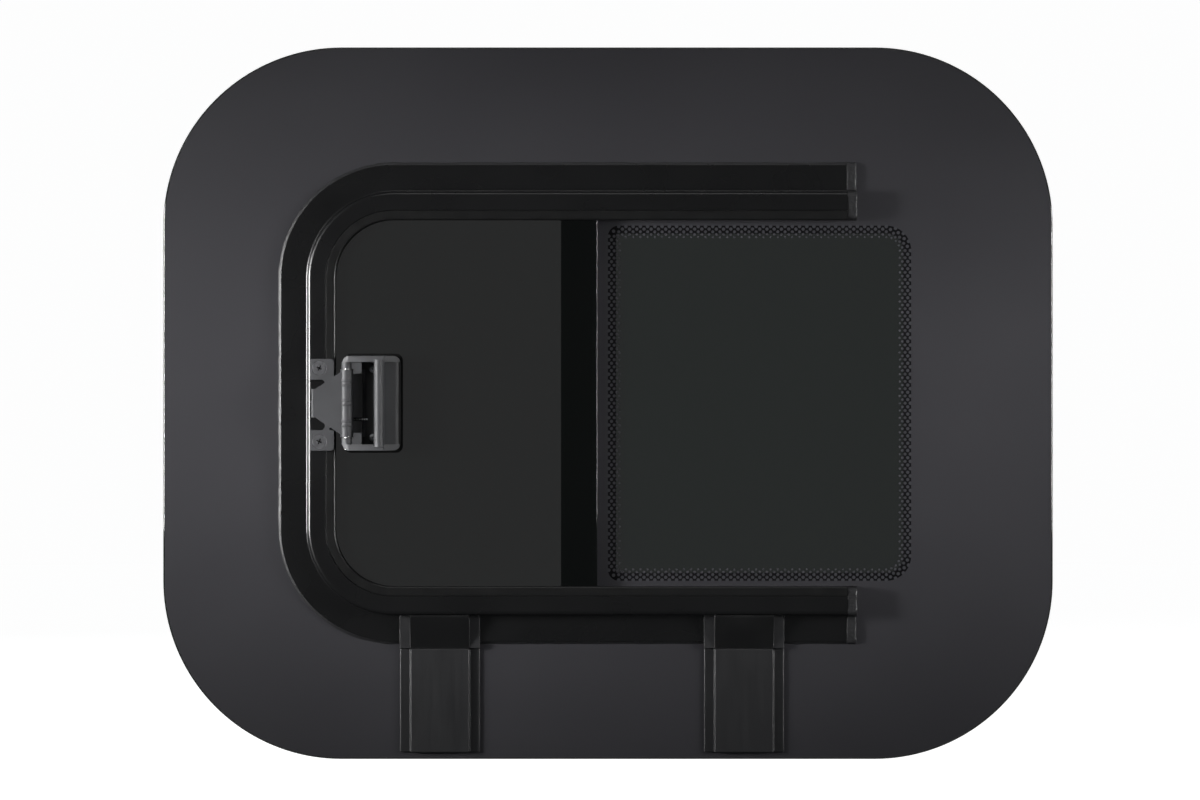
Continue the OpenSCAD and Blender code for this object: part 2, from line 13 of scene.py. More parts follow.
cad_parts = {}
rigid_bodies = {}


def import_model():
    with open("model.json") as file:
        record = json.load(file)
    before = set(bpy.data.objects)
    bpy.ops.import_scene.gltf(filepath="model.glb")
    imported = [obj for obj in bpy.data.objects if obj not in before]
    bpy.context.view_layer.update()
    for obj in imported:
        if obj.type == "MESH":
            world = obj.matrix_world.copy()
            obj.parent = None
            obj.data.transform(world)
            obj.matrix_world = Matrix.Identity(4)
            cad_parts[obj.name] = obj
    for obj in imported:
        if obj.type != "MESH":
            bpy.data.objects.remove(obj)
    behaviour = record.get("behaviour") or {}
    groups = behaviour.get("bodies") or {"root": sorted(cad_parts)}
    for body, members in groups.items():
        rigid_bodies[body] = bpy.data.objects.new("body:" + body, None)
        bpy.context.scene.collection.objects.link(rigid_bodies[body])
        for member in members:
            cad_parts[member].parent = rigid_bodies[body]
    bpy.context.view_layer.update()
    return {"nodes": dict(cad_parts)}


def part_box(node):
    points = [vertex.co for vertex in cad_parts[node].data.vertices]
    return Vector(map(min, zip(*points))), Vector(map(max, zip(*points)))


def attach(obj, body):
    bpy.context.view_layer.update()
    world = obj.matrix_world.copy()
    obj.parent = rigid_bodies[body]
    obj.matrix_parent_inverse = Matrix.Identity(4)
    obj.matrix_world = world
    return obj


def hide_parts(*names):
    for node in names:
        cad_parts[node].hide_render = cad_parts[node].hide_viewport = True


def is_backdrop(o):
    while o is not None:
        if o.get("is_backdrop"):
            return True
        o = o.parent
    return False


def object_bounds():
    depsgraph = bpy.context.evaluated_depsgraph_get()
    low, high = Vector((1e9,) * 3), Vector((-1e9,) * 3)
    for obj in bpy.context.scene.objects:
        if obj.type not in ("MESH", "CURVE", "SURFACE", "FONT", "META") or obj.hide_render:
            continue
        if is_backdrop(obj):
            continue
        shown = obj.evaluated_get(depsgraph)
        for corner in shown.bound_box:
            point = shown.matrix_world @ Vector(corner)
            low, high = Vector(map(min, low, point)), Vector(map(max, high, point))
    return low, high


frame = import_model()

bl_info = {
    "name": "Half-slider window",
    "version": (1, 0, 0),
    "blender": (4, 5, 0),
    "location": "3D View > Sidebar > Window",
    "description": "Builds a sliding camper window with its track, latch, drains and printed glass",
    "category": "Object",
}

MM = 0.001
FIXED = "window"
SLIDER = "slider"
HOOK = "hook"


# ---- sizes and colours ----


def length(name, description, default):
    """A setting in metres."""
    return bpy.props.FloatProperty(
        name=name, description=description, default=default, min=0.0, unit="LENGTH", precision=5
    )


def colour(name, description, default):
    """A linear colour setting."""
    return bpy.props.FloatVectorProperty(
        name=name, description=description, default=default, size=3, min=0.0, max=1.0, subtype="COLOR"
    )


class GlassSettings(bpy.types.PropertyGroup):
    corner: length("Corner radius", "Corner radius of the main glass", 100 * MM)
    edge_bevel: length("Ground edge", "Width of the ground bevel round the glass", 0.9 * MM)
    pane_bevel: length("Pane edge", "Width of the polished bevel round the pane", 0.4 * MM)
    pane_corner: length("Pane corners", "Radius of the sliding pane's right corners", 3 * MM)
    glide_edge: length("Glide edges", "Radius along the edges of the glides", 0.2 * MM)
    opacity: bpy.props.FloatProperty(
        name="Opacity", description="Opacity of each face of the glass", default=0.866,
        min=0.0, max=1.0, subtype="FACTOR",
    )
    window_right: length("Clear window right", "Right edge of the clear window from the centre", 170.4 * MM)
    window_half: length("Clear window half height", "Half the height of the clear window", 99.8 * MM)
    right_radius: length("Right corners", "Radius of the clear window's right corners", 14 * MM)
    left_radius: length("Left corners", "Radius of the clear window's corners by the mullion", 6 * MM)
    dot_pitch: length("Dot pitch", "Distance between dots along a row", 4.05 * MM)
    row_pitch: length("Row pitch", "Distance between rows of dots", 1.5 * MM)
    dot_size: length("Dot diameter", "Diameter of the dots in the outer row", 2 * MM)
    dot_rows: bpy.props.IntProperty(name="Dot rows", description="Rows of printed dots", default=5, min=1)
    tint: colour("Glass tint", "Body colour of the dark glass", (0.0008, 0.0028, 0.0021))
    pane_tint: colour("Pane tint", "Body colour of the sliding pane", (0.0014, 0.0018, 0.0016))
    frit: colour("Print colour", "Colour of the fired print", (0.0225, 0.0218, 0.0255))


class TrackSettings(bpy.types.PropertyGroup):
    flange: length("Flange", "Width of the flat flange outside the channel", 15.5 * MM)
    face: length("Channel face", "Width of the channel's metal face", 10.5 * MM)
    lip: length("Lip", "Width of the rubber lip inside the channel", 5.5 * MM)
    corner: length("Corner radius", "Radius of the track's corners at its outer edge", 64 * MM)
    wall: length("Wall", "Wall thickness of the track", 2 * MM)
    bond: length("Bond", "Thickness of the adhesive under the track", 1 * MM)
    shoulder: length("Shoulder", "Radius between the web and the face", 2.4 * MM)
    stop_edge: length("Stop edges", "Radius along the edges of the end stops", 0.3 * MM)
    coating: colour("Coating", "Colour of the coated metal", (0.0045, 0.0045, 0.0047))


class SealSettings(bpy.types.PropertyGroup):
    bead: length("Bead", "Width of the sealant bead along the flange", 1.5 * MM)
    lump: length("Lumps", "Height of the lumps in the sealant", 0.18 * MM)
    strip_edge: length("Strip edges", "Radius along the edges of the mullion strip", 0.2 * MM)
    rubber: colour("Rubber", "Colour of the seals", (0.0045, 0.0045, 0.0045))
    sealant: colour("Sealant", "Colour of the cured sealant", (0.012, 0.012, 0.013))


class LatchSettings(bpy.types.PropertyGroup):
    edge: length("Edge rounding", "Radius along the edges of the latch mouldings", 0.55 * MM)
    # heights below which the cover and the hook are darkened with painted shade, deep in the latch's well
    cover_shade_height: length("Cover painted shade", "Height below which the cover is dark inside", 14.6 * MM)
    hook_shade_height: length("Hook painted shade", "Height below which the hook is dark inside", 19 * MM)
    plastic: colour("Plastic", "Colour of the latch mouldings", (0.043, 0.0435, 0.0465))
    steel: colour("Steel", "Colour of the screws", (0.22, 0.22, 0.23))


class DrainSettings(bpy.types.PropertyGroup):
    raised: length("Raised half", "Half the width of the raised middle of a hood", 16.6 * MM)
    hood_edge: length("Hood edges", "Radius along the edges of the hoods", 0.4 * MM)
    duct_edge: length("Duct edges", "Radius along the edges of the ducts", 0.9 * MM)
    plastic: colour("Plastic", "Colour of the drain mouldings", (0.019, 0.019, 0.020))


class StageSettings(bpy.types.PropertyGroup):
    distance: length("Camera distance", "Distance of the camera from the glass", 3.2)
    frame_width: length("Frame width", "Width that the camera sees at the glass", 0.6744)
    floor_drop: length("Floor drop", "Distance of the floor below the glass", 0.045)
    backdrop: colour("Backdrop", "Colour of the floor and backdrop", (0.45, 0.45, 0.45))


SETTINGS = {
    "window_glass": GlassSettings,
    "window_track": TrackSettings,
    "window_seal": SealSettings,
    "window_latch": LatchSettings,
    "window_drain": DrainSettings,
    "window_stage": StageSettings,
}


# ---- shader expressions ----


class Value:
    """A shader output or number that Python's operators turn into Math nodes."""

    def __init__(self, shader, socket):
        self.shader = shader
        self.socket = socket

    def maths(self, operation, *others, clamp=False):
        ins = {i: v for i, v in enumerate((self, *others))}
        return self.shader.node("ShaderNodeMath", {"operation": operation, "use_clamp": clamp}, ins)

    def __add__(self, other):
        return self.maths("ADD", other)

    __radd__ = __add__

    def __sub__(self, other):
        return self.maths("SUBTRACT", other)

    def __rsub__(self, other):
        return self.shader.node("ShaderNodeMath", {"operation": "SUBTRACT"}, {0: other, 1: self})

    def __mul__(self, other):
        return self.maths("MULTIPLY", other)

    __rmul__ = __mul__

    def over(self, level):
        """1 where the value is above a level, else 0."""
        return self.maths("GREATER_THAN", level)

    def clamped(self):
        return self.maths("ADD", 0.0, clamp=True)


class Shader:
    """One material: make nodes with node(), finish with surface()."""

    def __init__(self, name):
        self.material = bpy.data.materials.new(name)
        self.material.use_nodes = True
        self.tree = self.material.node_tree
        self.tree.nodes.clear()
        self.position = self.node("ShaderNodeTexCoord", {}, {}, "Object")

    def node(self, kind, settings, inputs, output=0):
        made = self.tree.nodes.new(kind)
        for name, setting in settings.items():
            if name == "stops":
                for spot, (place, tone) in enumerate(setting):
                    ramp = made.color_ramp.elements
                    stop = ramp[spot] if spot < 2 else ramp.new(place)
                    stop.position, stop.color = place, (tone, tone, tone, 1.0)
            else:
                setattr(made, name, setting)
        for name, given in inputs.items():
            if isinstance(given, Value):
                self.tree.links.new(given.socket, made.inputs[name])
            else:
                made.inputs[name].default_value = given
        return Value(self, made.outputs[output])

    def noise(self, scale, detail=3.0, roughness=0.5, at=None):
        ins = {"Vector": at or self.position, "Scale": scale, "Detail": detail, "Roughness": roughness}
        return self.node("ShaderNodeTexNoise", {}, ins, "Fac")

    def axis(self, which):
        """One coordinate: 0, 1 or 2."""
        return self.node("ShaderNodeSeparateXYZ", {}, {"Vector": self.position}, which)

    def height(self):
        """Height above the outer face of the glass."""
        return self.axis(1) * -1.0

    def stretched(self, scale):
        return self.node("ShaderNodeMapping", {}, {"Vector": self.position, "Scale": scale})

    def ramp(self, fac, *stops):
        return self.node("ShaderNodeValToRGB", {"stops": stops}, {"Fac": fac})

    def blend(self, fac, first, second):
        ins = {"Factor": fac, 6: (*first, 1.0), 7: (*second, 1.0)}
        return self.node("ShaderNodeMix", {"data_type": "RGBA"}, ins, 2)

    def tones(self, fac, tone, darkest, lightest):
        return self.blend(fac, toned(tone, darkest), toned(tone, lightest))

    def bump(self, height, strength, distance):
        ins = {"Height": height, "Strength": strength, "Distance": distance}
        return self.node("ShaderNodeBump", {}, ins)

    def surface(self, **inputs):
        """The finished material; a socket's name has _ for each space."""
        inputs = {name.replace("_", " "): given for name, given in inputs.items()}
        shade = self.node("ShaderNodeBsdfPrincipled", {}, inputs, "BSDF")
        out = self.tree.nodes.new("ShaderNodeOutputMaterial")
        self.tree.links.new(shade.socket, out.inputs["Surface"])
        return self.material


def toned(tone, factor):
    """A colour made darker or lighter."""
    return tuple(min(1.0, c * factor) for c in tone)


# ---- finishes ----


def dark_glass(name, tint, alpha):
    """Polished privacy glass with the faint haze of handling."""
    shader = Shader(name)
    haze = shader.noise(9.0, 4.0, 0.6)
    wipe = shader.noise(60.0, 2.0, 0.5, at=shader.stretched((0.3, 1.0, 1.0)))
    return shader.surface(
        Base_Color=shader.blend(haze, toned(tint, 0.86), toned(tint, 1.14)),
        Roughness=shader.ramp(haze * 0.7 + wipe * 0.3, (0.35, 0.035), (0.75, 0.085)),
        Alpha=alpha,
        IOR=1.5,
    )


def fired_print(name, tone, gloss=0.5):
    """Satin enamel fired onto the glass, with faint clouds and pinholes."""
    shader = Shader(name)
    cloud = shader.noise(7.0, 4.0, 0.55)
    grain = shader.noise(1400.0, 2.0, 0.6)
    return shader.surface(
        Base_Color=shader.tones(cloud, tone, 0.86, 1.16),
        Roughness=shader.ramp(cloud * 0.6 + grain * 0.4, (0.3, 0.42), (0.7, 0.54)),
        Specular_IOR_Level=gloss,
        Normal=shader.bump(grain, 0.05, 0.0001),
    )


def coated_metal(name, tone):
    """Black coated aluminium: fine orange peel, rubbed a little along its length."""
    shader = Shader(name)
    peel = shader.noise(900.0, 2.0, 0.5)
    rub = shader.noise(28.0, 2.0, 0.5)
    return shader.surface(
        Base_Color=shader.tones(rub, tone, 0.9, 1.15),
        Roughness=shader.ramp(rub, (0.3, 0.25), (0.72, 0.31)),
        Normal=shader.bump(peel, 0.06, 0.0001),
    )


def rubber(name, tone):
    """Extruded rubber: matte, with drag lines and a little dust."""
    shader = Shader(name)
    dust = shader.noise(140.0, 5.0, 0.65)
    grain = shader.noise(2600.0, 2.0, 0.6)
    return shader.surface(
        Base_Color=shader.tones(dust, tone, 0.75, 1.5),
        Roughness=shader.ramp(dust, (0.3, 0.28), (0.75, 0.40)),
        Normal=shader.bump(grain, 0.08, 0.00008),
    )


def cured_sealant(name, tone):
    """Tooled sealant: glossy skin over small lumps."""
    shader = Shader(name)
    lump = shader.noise(420.0, 4.0, 0.6)
    fine = shader.noise(1500.0, 3.0, 0.6)
    return shader.surface(
        Base_Color=shader.tones(lump, tone, 0.6, 1.6),
        Roughness=shader.ramp(fine, (0.3, 0.38), (0.75, 0.6)),
        Normal=shader.bump(lump * 0.7 + fine * 0.3, 0.5, 0.0005),
    )


def moulded_plastic(name, tone, roughness=0.4, texture=0.22, painted_shade_height=0.0):
    """Moulded plastic: fine spark texture, paler where rubbed, and dark below a height with painted shade.
    """
    shader = Shader(name)
    spark = shader.noise(3000.0, 2.0, 0.55)
    wear = shader.noise(70.0, 5.0, 0.6)
    # painted shade: the colour goes dark below the given height, as in the latch's well
    unshaded = ((shader.height() - painted_shade_height) * 400.0 + 0.1).clamped() if painted_shade_height else 1.0
    gloss = wear * 0.6 + spark * 0.4
    return shader.surface(
        Base_Color=shader.tones((wear * 0.4 + 0.6) * unshaded, tone, 0.05, 1.25),
        Roughness=shader.ramp(gloss, (0.25, roughness - 0.07), (0.75, roughness + 0.1)),
        Normal=shader.bump(spark, texture, 0.00006),
    )


def formed_sheet(name, tone):
    """Vacuum-formed black sheet with soft dents and wipe marks."""
    shader = Shader(name)
    dent = shader.noise(45.0, 2.0, 0.5)
    wipe = shader.noise(260.0, 3.0, 0.6, at=shader.stretched((1.0, 1.0, 0.12)))
    return shader.surface(
        Base_Color=shader.tones(dent, tone, 0.8, 1.25),
        Roughness=shader.ramp(wipe, (0.3, 0.30), (0.72, 0.46)),
        Normal=shader.bump(dent * 0.8 + wipe * 0.2, 0.3, 0.0028),
    )


def hood_sheet(name, tone, centre, half):
    """Formed sheet whose raised middle, from centre - half to centre + half, is coated dark."""
    shader = Shader(name)
    dent = shader.noise(60.0, 3.0, 0.55)
    bare = (shader.axis(0) - centre).maths("ABSOLUTE").over(half) * (dent * 0.5 + 0.6)
    return shader.surface(
        Base_Color=shader.blend(bare, (0.0045, 0.0045, 0.0047), toned(tone, 1.4)),
        Roughness=shader.ramp(dent, (0.3, 0.30), (0.72, 0.44)),
        Normal=shader.bump(dent, 0.2, 0.0010),
    )


def plated_steel(name, tone, roughness=0.3, painted_shade_height=0.0):
    """Plated or drawn steel with fine tool marks, painted black below a height as shade in its recesses."""
    shader = Shader(name)
    mark = shader.noise(1200.0, 4.0, 0.7)
    # painted shade: black and not metallic below the given height
    unshaded = shader.height().over(painted_shade_height)
    return shader.surface(
        Base_Color=shader.blend((mark * 0.5 + 0.5) * unshaded, (0.004, 0.004, 0.004), toned(tone, 1.3)),
        Metallic=unshaded,
        Roughness=shader.ramp(mark, (0.3, roughness - 0.06), (0.7, roughness + 0.12)),
        Normal=shader.bump(mark, 0.12, 0.00005),
    )


def soft_pile(name, tone):
    """Short fibres: rough and uneven."""
    shader = Shader(name)
    fibre = shader.noise(1900.0, 4.0, 0.75, at=shader.stretched((1.0, 0.25, 1.0)))
    return shader.surface(
        Base_Color=shader.tones(fibre, tone, 0.5, 1.8),
        Roughness=0.9,
        Normal=shader.bump(fibre, 0.6, 0.0003),
    )


def foam(name, tone):
    """Closed-cell tape with open bubbles along its cut edge."""
    shader = Shader(name)
    ins = {"Vector": shader.position, "Scale": 1500.0}
    cell = shader.node("ShaderNodeTexVoronoi", {}, ins, "Distance")
    return shader.surface(
        Base_Color=shader.tones(cell, tone, 0.6, 1.5),
        Roughness=0.8,
        Specular_IOR_Level=0.1,
        Normal=shader.bump(cell, 0.5, 0.0002),
    )


def studio_paper(name, tone):
    """Seamless paper of the floor and backdrop."""
    shader = Shader(name)
    fibre = shader.noise(30.0, 3.0, 0.5)
    return shader.surface(
        Base_Color=shader.tones(fibre, tone, 0.995, 1.005),
        Roughness=0.9,
        Emission_Color=(1.0, 1.0, 1.0, 1.0),
        Emission_Strength=0.95,
    )


def finish(name, maker, *values):
    """The named finish, made the first time it is asked for."""
    name += "_finish"
    return bpy.data.materials.get(name) or maker(name, *values)


def latch_plastic(name="latch_plastic", painted_shade_height=0.0):
    """The latch mouldings' finish, dark inside below a height with painted shade."""
    return finish(name, moulded_plastic, tuple(bpy.context.scene.window_latch.plastic), 0.52, 0.3, painted_shade_height)


def dress(node, material):
    """Gives a CAD node its finish."""
    mesh = frame["nodes"][node].data
    mesh.materials.clear()
    mesh.materials.append(material)


# ---- meshes ----


def placed(name, data):
    """A new object in the scene."""
    made = bpy.data.objects.new(name, data)
    bpy.context.scene.collection.objects.link(made)
    return made


def meshed(bm, name):
    """A mesh made from a bmesh, which is then freed."""
    mesh = bpy.data.meshes.new(name)
    bm.to_mesh(mesh)
    bm.free()
    return mesh


def point_mesh(name, spots):
    """A mesh of loose points."""
    mesh = bpy.data.meshes.new(name)
    mesh.from_pydata(spots, [], [])
    return mesh


def opened(mesh):
    """A bmesh that holds a copy of a mesh."""
    bm = bmesh.new()
    bm.from_mesh(mesh)
    return bm


def settled_object(holder, name):
    """The plain mesh of an object with its modifiers applied. The object is removed."""
    depsgraph = bpy.context.evaluated_depsgraph_get()
    mesh = bpy.data.meshes.new_from_object(holder.evaluated_get(depsgraph))
    mesh.name = name
    holder.modifiers.clear()
    bpy.data.objects.remove(holder)
    return mesh


def settled(piece_mesh, modifiers, name):
    """A plain mesh with the given modifiers applied, each as (type, settings)."""
    holder = placed(name + "_work", piece_mesh)
    for kind, settings in modifiers:
        added = holder.modifiers.new(kind.lower(), kind)
        for key, value in settings.items():
            setattr(added, key, value)
    return settled_object(holder, name)


def add_piece(name, mesh, material, body, replaces=()):
    """Puts a finished mesh in the scene, riding on its body."""
    piece = placed(name, mesh)
    mesh.materials.clear()
    mesh.materials.append(material)
    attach(piece, body)
    if replaces:
        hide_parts(*replaces)


def mesh_from(bm, name, smooth_angle=40.0):
    """Turns a bmesh into a mesh with outward faces and smooth shading up to an angle."""
    bmesh.ops.remove_doubles(bm, verts=bm.verts, dist=1e-7)
    bmesh.ops.recalc_face_normals(bm, faces=bm.faces)
    for face in bm.faces:
        face.smooth = True
    for edge in bm.edges:
        sharp = len(edge.link_faces) != 2 or edge.calc_face_angle(0.0) > math.radians(smooth_angle)
        edge.smooth = not sharp
    weights = {"mode": "FACE_AREA", "weight": 50, "keep_sharp": True}
    return settled(meshed(bm, name), [("WEIGHTED_NORMAL", weights)], name)


def joined_node(node):
    """A bmesh of a CAD node with the corners of its loose triangles merged."""
    bm = opened(frame["nodes"][node].data)
    bmesh.ops.remove_doubles(bm, verts=bm.verts, dist=2e-6)
    return bm


def add_softened(node, name, radius, material, body, segments=3):
    """A piece that replaces a CAD node: the same shape with rounded edges."""
    bm = joined_node(node)
    bmesh.ops.dissolve_limit(bm, angle_limit=math.radians(1.0), verts=bm.verts, edges=bm.edges)
    bevel = {"width": radius, "segments": segments, "angle_limit": math.radians(32.0)}
    mesh = settled(meshed(bm, name), [("BEVEL", bevel)], name)
    add_piece(name, mesh_from(opened(mesh), name, 38.0), material, body, [node])


def arc(centre, radius, start, end, steps):
    """Points (a, b) along an arc, angles in degrees."""
    spread = [math.radians(start + (end - start) * i / steps) for i in range(steps + 1)]
    return [(centre[0] + radius * math.cos(a), centre[1] + radius * math.sin(a)) for a in spread]


def rounded_box(left, right, low, high, left_radius, right_radius, steps=16):
    """Outline (x, z) of a rectangle with its own corner radius at the left and the right."""
    wide, tight = right_radius, left_radius
    return [
        *arc((right - wide, high - wide), wide, 90, 0, steps),
        *arc((right - wide, low + wide), wide, 0, -90, steps),
        *arc((left + tight, low + tight), tight, -90, -180, steps),
        *arc((left + tight, high - tight), tight, 180, 90, steps),
    ]


def sheet_with_holes(name, outline, holes, front, back):
    """A flat plate in the X-Z plane between y = front and y = back."""
    curve = bpy.data.curves.new(name, "CURVE")
    curve.dimensions = "2D"
    curve.fill_mode = "BOTH"
    curve.extrude = abs(back - front) / 2
    for points in [outline, *holes]:
        spline = curve.splines.new("POLY")
        spline.points.add(len(points) - 1)
        spline.use_cyclic_u = True
        for spot, (x, z) in zip(spline.points, points):
            spot.co = (x, z, 0.0, 1.0)
    mesh = settled_object(placed(name, curve), name)
    mesh.transform(Matrix.Translation((0, (front + back) / 2, 0)) @ Matrix.Rotation(math.pi / 2, 4, "X"))
    return mesh_from(opened(mesh), name, 30.0)


def cut_away(body, cutters, name, smooth_angle):
    """The mesh of one bmesh less others, all of which are freed."""
    for bm in (body, *cutters):
        bmesh.ops.recalc_face_normals(bm, faces=bm.faces)
    knives = [placed(name + "_knife", meshed(bm, name + "_knife")) for bm in cutters]
    cuts = [("BOOLEAN", {"operation": "DIFFERENCE", "object": knife, "solver": "EXACT"}) for knife in knives]
    mesh = settled(meshed(body, name), cuts, name)
    for knife in knives:
        bpy.data.objects.remove(knife)
    return mesh_from(opened(mesh), name, smooth_angle)


def skin(rings, ends=(0, -1)):
    """A bmesh with faces between rings of points, and a face over each of the named ends."""
    bm = bmesh.new()
    laid = [[bm.verts.new(point) for point in ring] for ring in rings]
    for here, there in zip(laid, laid[1:]):
        for i in range(len(here)):
            bm.faces.new((here[i - 1], here[i], there[i], there[i - 1]))
    for end in ends:
        bm.faces.new(laid[end])
    return bm


def plate(outline, front, back, bevel=0.0, steps=3):
    """A solid plate on an outline (x, z), with both rims rounded."""
    turns = [i / steps * math.pi / 2 for i in range(steps + 1)] if bevel else [0.0]
    levels = [(front + bevel * (1 - math.sin(t)), bevel * (1 - math.cos(t))) for t in reversed(turns)]
    levels += [(back - bevel * (1 - math.sin(t)), bevel * (1 - math.cos(t))) for t in turns]
    count = len(outline)
    rings = []
    for y, inset in levels:
        ring = []
        for i, (x, z) in enumerate(outline):
            before, after = outline[i - 1], outline[(i + 1) % count]
            along = Vector((after[0] - before[0], after[1] - before[1])).normalized()
            ring.append((x + along.y * inset, y, z - along.x * inset))
        rings.append(ring)
    return skin(rings)


def lofted(name, rings, smooth_angle=30.0):
    """A closed mesh over rings of points."""
    bm = skin(rings)
    bm.faces.ensure_lookup_table()
    bmesh.ops.triangulate(bm, faces=bm.faces[-2:])
    return mesh_from(bm, name, smooth_angle)


# ---- the track's path ----


def track_stations(end_x, spacing=0.0, corner_steps=28):
    """Places round the U of the track, each a point on its outer edge and the way inwards."""
    low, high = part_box("track_rail")
    radius = bpy.context.scene.window_track.corner
    left, top = low[0], high[2]
    corner_x, corner_z = left + radius, top - radius

    def straight(start, end, inward):
        start, end = Vector(start), Vector(end)
        parts = max(1, round((end - start).length / spacing)) if spacing else 1
        return [(start.lerp(end, i / parts), Vector(inward)) for i in range(parts + 1)]

    def turned(centre, start, end):
        places = arc((0, 0), 1.0, start, end, corner_steps)
        return [(Vector(centre) + Vector(p) * radius, -Vector(p)) for p in places]

    return [
        *straight((end_x, top), (corner_x, top), (0, -1))[:-1],
        *turned((corner_x, corner_z), 90, 180)[:-1],
        *straight((left, corner_z), (left, -corner_z), (1, 0))[:-1],
        *turned((corner_x, -corner_z), 180, 270)[:-1],
        *straight((corner_x, -top), (end_x, -top), (0, 1)),
    ]


def swept(name, section, stations, smooth_angle=30.0, shape=None):
    """Runs a closed section (inward, height) along the track; shape may move each point."""
    rings = []
    for place, inward in stations:
        ring = []
        for u, h in section:
            if shape:
                u, h = shape(place, u, h)
            spot = place + inward * u
            ring.append((spot.x, -h, spot.y))
        rings.append(ring)
    return lofted(name, rings, smooth_angle)


def ripple(place, scale, depth, salt=0.0):
    """Smooth repeatable noise at a place, from -depth to depth."""
    return depth * noise.noise(Vector((place[0] * scale, place[1] * scale, salt)))


# ---- Geometry Nodes ----


class NodeTree:
    """A Geometry Nodes tree built in order, with named inputs."""

    def __init__(self, name, inputs):
        self.tree = bpy.data.node_groups.new(name, "GeometryNodeTree")
        self.tree.interface.new_socket("Geometry", in_out="INPUT", socket_type="NodeSocketGeometry")
        self.ids = {}
        for label, (kind, default) in (*inputs.items(), ("Finish", ("NodeSocketMaterial", None))):
            socket = self.tree.interface.new_socket(label, in_out="INPUT", socket_type=kind)
            self.ids[label] = socket.identifier
            if default is not None:
                socket.default_value = default
        self.tree.interface.new_socket("Geometry", in_out="OUTPUT", socket_type="NodeSocketGeometry")
        self.start = self.tree.nodes.new("NodeGroupInput")
        self.end = self.tree.nodes.new("NodeGroupOutput")

    def input(self, label="Geometry"):
        return self.start.outputs[label]

    def node(self, kind, settings=None, **inputs):
        made = self.tree.nodes.new(kind)
        for name, setting in (settings or {}).items():
            setattr(made, name, setting)
        for name, given in inputs.items():
            socket = made.inputs[name.replace("_", " ")]
            if isinstance(given, bpy.types.NodeSocket):
                self.tree.links.new(given, socket)
            else:
                socket.default_value = given
        return made

    def random_turn(self, seed, least, most):
        """A repeatable random rotation between two others."""
        kind = {"data_type": "FLOAT_VECTOR"}
        return self.node("FunctionNodeRandomValue", kind, Seed=seed, Min=least, Max=most).outputs["Value"]

    def scatter(self, points, instance, **inputs):
        """Ends the tree: an instance on every point, made real and given its finish."""
        laid = self.node("GeometryNodeInstanceOnPoints", Points=points, Instance=instance, **inputs)
        real = self.node("GeometryNodeRealizeInstances", Geometry=laid.outputs[0])
        material = self.input("Finish")
        coated = self.node("GeometryNodeSetMaterial", Geometry=real.outputs[0], Material=material)
        self.tree.links.new(coated.outputs[0], self.end.inputs[0])


def grown(base_mesh, tree, values, name):
    """The plain mesh that a Geometry Nodes tree makes from a base mesh."""
    holder = placed(name + "_base", base_mesh)
    modifier = holder.modifiers.new("build", "NODES")
    modifier.node_group = tree.tree
    for label, value in values.items():
        modifier[tree.ids[label]] = value
    return settled_object(holder, name)


def dots_tree():
    """A flat disc on every point of a mesh, sized by the point's own attribute."""
    made = NodeTree(
        "printed_dots",
        {
            "Dot radius": ("NodeSocketFloat", 0.001),
            "Thickness": ("NodeSocketFloat", 0.0001),
        },
    )
    disc = made.node(
        "GeometryNodeMeshCylinder",
        {"fill_type": "NGON"},
        Vertices=14,
        Radius=made.input("Dot radius"),
        Depth=made.input("Thickness"),
    )
    upright = made.node("GeometryNodeTransform", Geometry=disc.outputs["Mesh"], Rotation=(math.pi / 2, 0, 0))
    size = made.node("GeometryNodeInputNamedAttribute", {"data_type": "FLOAT"}, Name="dot_size")
    made.scatter(made.input(), upright.outputs[0], Scale=size.outputs["Attribute"])
    return made


def bristles_tree():
    """Tufts scattered along a strip, leaning a little at random."""
    made = NodeTree(
        "pile_bristles",
        {
            "Density": ("NodeSocketFloat", 400000.0),
            "Length": ("NodeSocketFloat", 0.002),
            "Thickness": ("NodeSocketFloat", 0.0002),
            "Seed": ("NodeSocketInt", 7),
        },
    )
    points = made.node(
        "GeometryNodeDistributePointsOnFaces",
        Mesh=made.input(),
        Density=made.input("Density"),
        Seed=made.input("Seed"),
    )
    tuft = made.node(
        "GeometryNodeMeshCone",
        {"fill_type": "NGON"},
        Vertices=5,
        Radius_Top=0.06 * MM,
        Radius_Bottom=made.input("Thickness"),
        Depth=made.input("Length"),
    )
    upright, lean = math.pi / 2, 0.22
    turn = made.random_turn(made.input("Seed"), (upright - lean, -lean, 0.0), (upright + lean, lean, 0.0))
    made.scatter(points.outputs["Points"], tuft.outputs["Mesh"], Rotation=turn)
    return made


def heads_tree():
    """The same screw set on every point of a mesh, each turned a little differently."""
    made = NodeTree("screw_row", {"Screw": ("NodeSocketObject", None)})
    screw = made.node("GeometryNodeObjectInfo", {"transform_space": "ORIGINAL"}, Object=made.input("Screw"))
    turn = made.random_turn(3, (0.0, 0.15, 0.0), (0.0, 1.2, 0.0))
    made.scatter(made.input(), screw.outputs["Geometry"], Rotation=turn)
    return made


# ---- glass ----


def vent_outline(grow=0.0):
    """Outline of the vent cut-out, hidden behind the lip of the track and the mullion strip."""
    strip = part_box("mullion_carrier")[0]
    track_low, track_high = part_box("track_rail")
    settings = bpy.context.scene.window_track
    under_lip, under_strip, strip_corner = 0.5 * MM, 6 * MM, 8 * MM
    inward = settings.flange + settings.face + settings.lip - under_lip
    left, half = track_low[0] + inward - grow, track_high[2] - inward + grow
    right = strip[0] + under_strip + grow
    wide, tight = settings.corner - inward + grow, strip_corner + grow
    return rounded_box(left, right, -half, half, wide, tight, 24)


